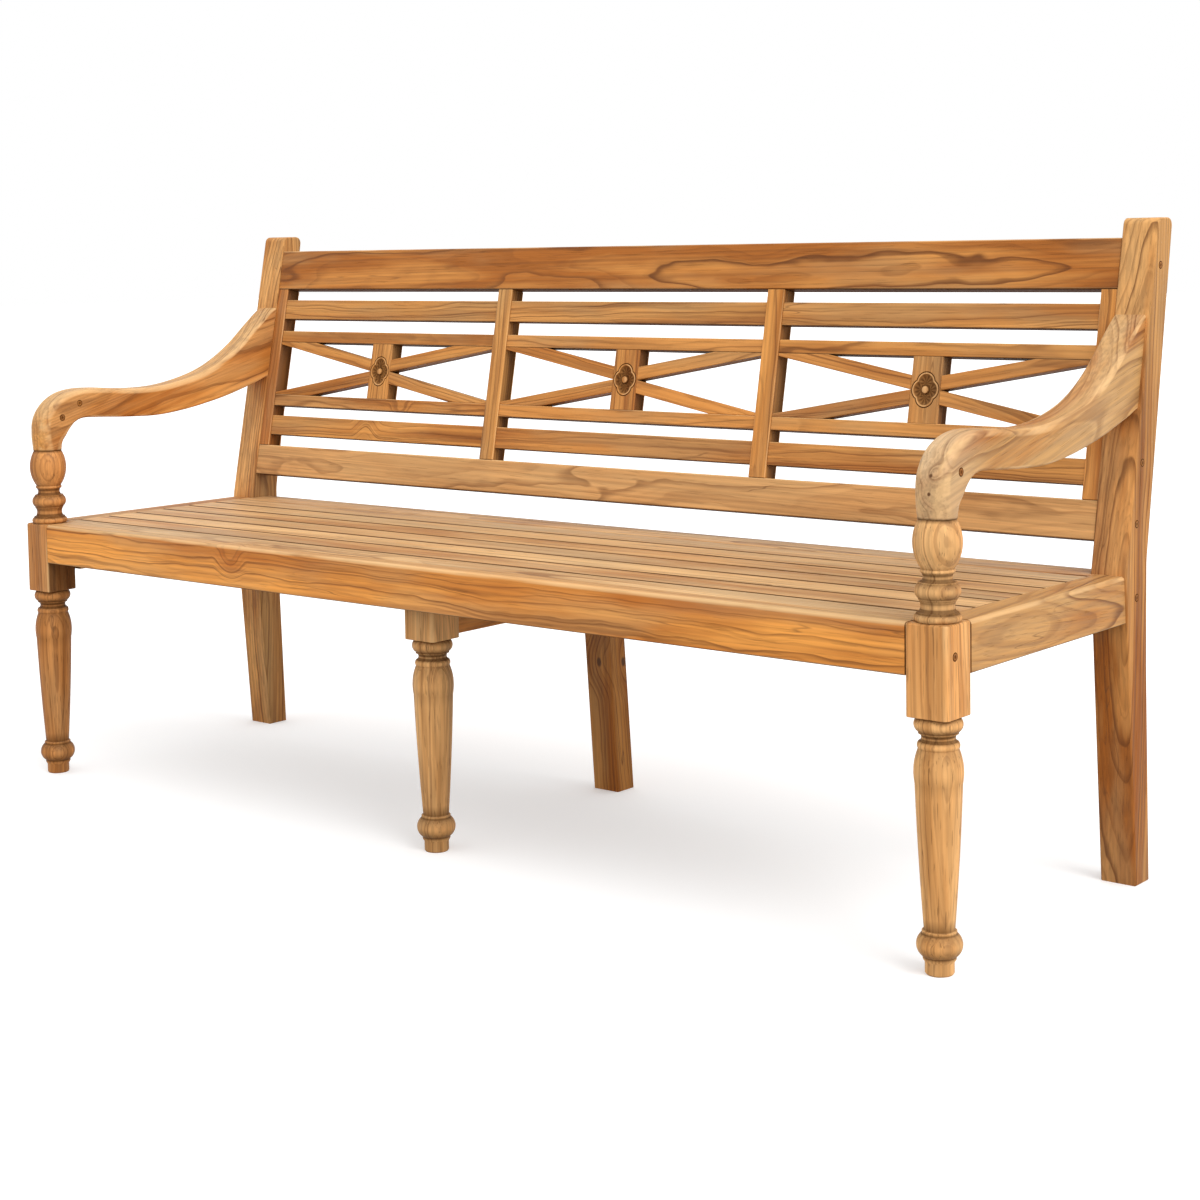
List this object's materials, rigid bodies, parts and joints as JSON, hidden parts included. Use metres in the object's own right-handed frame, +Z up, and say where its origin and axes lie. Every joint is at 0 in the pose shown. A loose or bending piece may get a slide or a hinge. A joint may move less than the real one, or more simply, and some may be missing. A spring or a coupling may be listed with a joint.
{
  "type": "station bench",
  "caption": "Wooden station bench with turned front legs, scrolled arms on balusters, a slatted seat and a raked back of crossed panels with carved rosettes.",
  "frame": {"origin": "floor level at the centre of the bench's bounding box", "axes": "+X along the seat towards the right end as seen from the front, +Y to the back, +Z up"},
  "size_m": [1.806, 0.6051, 0.912],
  "materials": {
    "legs": "sanded teak, untreated",
    "posts": "sanded teak, untreated",
    "arms": "sanded teak, untreated",
    "back_frame": "sanded teak, untreated",
    "back_panels": "sanded teak, untreated, with carved rosettes",
    "seat_boards": "sanded teak, untreated",
    "seat_frame": "sanded teak, untreated",
    "plugs": "teak plugs, end grain"
  },
  "bodies": {
    "root": {"arm_left": "arms", "arm_right": "arms", "back_bottom_rail": "back_frame", "back_mullion_left": "back_frame", "back_mullion_right": "back_frame", "back_stile_left": "back_frame", "back_stile_right": "back_frame", "back_top_rail": "back_frame", "front_leg_left": "legs", "front_leg_middle": "legs", "front_leg_right": "legs", "front_rail": "seat_frame", "joint_plugs": "plugs", "panel_centre_bar_1": "back_panels", "panel_centre_bar_2": "back_panels", "panel_centre_bar_3": "back_panels", "panel_centre_bar_4": "back_panels", "panel_centre_block": "back_panels", "panel_centre_cross_rail_bottom": "back_panels", "panel_centre_cross_rail_top": "back_panels", "panel_centre_lower_slat": "back_panels", "panel_centre_upper_slat": "back_panels", "panel_left_bar_1": "back_panels", "panel_left_bar_2": "back_panels", "panel_left_bar_3": "back_panels", "panel_left_bar_4": "back_panels", "panel_left_block": "back_panels", "panel_left_cross_rail_bottom": "back_panels", "panel_left_cross_rail_top": "back_panels", "panel_left_lower_slat": "back_panels", "panel_left_upper_slat": "back_panels", "panel_right_bar_1": "back_panels", "panel_right_bar_2": "back_panels", "panel_right_bar_3": "back_panels", "panel_right_bar_4": "back_panels", "panel_right_block": "back_panels", "panel_right_cross_rail_bottom": "back_panels", "panel_right_cross_rail_top": "back_panels", "panel_right_lower_slat": "back_panels", "panel_right_upper_slat": "back_panels", "rear_leg_middle": "posts", "rear_post_left": "posts", "rear_post_right": "posts", "rear_rail": "seat_frame", "seat_bearer_centre": "seat_frame", "seat_bearer_left": "seat_frame", "seat_bearer_right": "seat_frame", "seat_slat_1": "seat_boards", "seat_slat_2": "seat_boards", "seat_slat_3": "seat_boards", "seat_slat_4": "seat_boards", "seat_slat_5": "seat_boards", "seat_slat_6": "seat_boards", "seat_slat_7": "seat_boards", "seat_slat_8": "seat_boards", "side_rail_left": "seat_frame", "side_rail_right": "seat_frame"}
  },
  "joints": []
}
